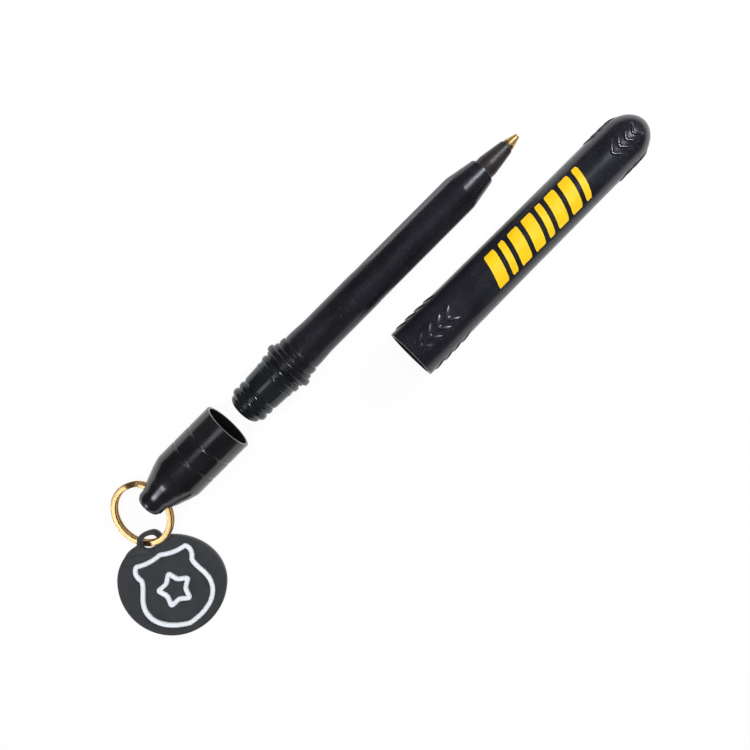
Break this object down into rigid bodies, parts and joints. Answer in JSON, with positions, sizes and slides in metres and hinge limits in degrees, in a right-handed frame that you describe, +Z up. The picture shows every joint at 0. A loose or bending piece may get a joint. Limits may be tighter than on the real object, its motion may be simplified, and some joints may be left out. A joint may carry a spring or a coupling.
{
  "type": "pocket pen",
  "caption": "Pocket ballpoint pen with its domed cap pulled off beside it, a slip-on tail cap, and a split key ring carrying a soft round charm.",
  "frame": {"origin": "middle of the box round the whole layout, on the surface that everything lies on", "axes": "+X along the pen towards its point, +Y from the cap towards the pen, +Z up"},
  "size_m": [0.1672, 0.0374, 0.0134],
  "materials": {
    "barrel_plastic": "satin moulded black",
    "cap_plastic": "satin moulded charcoal with a yellow print",
    "tail_plastic": "satin moulded black",
    "plug_plastic": "glossy moulded black",
    "tube_plastic": "translucent extruded tube",
    "ink": "wet black ink",
    "holder_resin": "smoky brown resin",
    "point_brass": "turned",
    "ball_metal": "polished ball",
    "ring_metal": "gold-tone plated wire",
    "charm_vinyl": "soft matt vinyl",
    "line_vinyl": "soft white vinyl"
  },
  "bodies": {
    "pen_body": {"barrel": "barrel_plastic", "rear_plug": "plug_plastic"},
    "refill_body": {"refill_tube": "tube_plastic", "ink_column": "ink", "refill_holder": "holder_resin", "point_socket": "point_brass"},
    "ball_body": {"writing_ball": "ball_metal"},
    "cap_body": {"cap_shell": "cap_plastic"},
    "tail_body": {"tail_cap": "tail_plastic"},
    "ring_body": {"key_ring": "ring_metal"},
    "charm_body": {"charm_disc": "charm_vinyl", "charm_shield": "line_vinyl", "charm_star": "line_vinyl"}
  },
  "joints": [
    {"name": "refill_slide", "type": "slide", "parent": "pen_body", "child": "refill_body", "axis": [1, 0, 0], "range_m": [0, 0.07]},
    {"name": "ball_roll", "type": "hinge", "parent": "refill_body", "child": "ball_body", "pos_m": [0.06076, 0.0105, 0.00632], "axis": [0, 1, 0], "continuous": true},
    {"name": "cap_slide", "type": "slide", "parent": "pen_body", "child": "cap_body", "axis": [1, 0, 0], "range_m": [-0.0207, 0.055]},
    {"name": "tail_cap_slide", "type": "slide", "parent": "pen_body", "child": "tail_body", "axis": [1, 0, 0], "range_m": [0, 0.019]},
    {"name": "key_ring_swing", "type": "hinge", "parent": "tail_body", "child": "ring_body", "pos_m": [-0.05693, 0.0105, 0.00632], "axis": [0, 1, 0], "range_deg": [-105, 150]},
    {"name": "charm_travel", "type": "hinge", "parent": "ring_body", "child": "charm_body", "pos_m": [-0.06314, 0.0105, 0.00352], "axis": [-0.3433, 0, 0.9392], "range_deg": [-150, 38]}
  ]
}
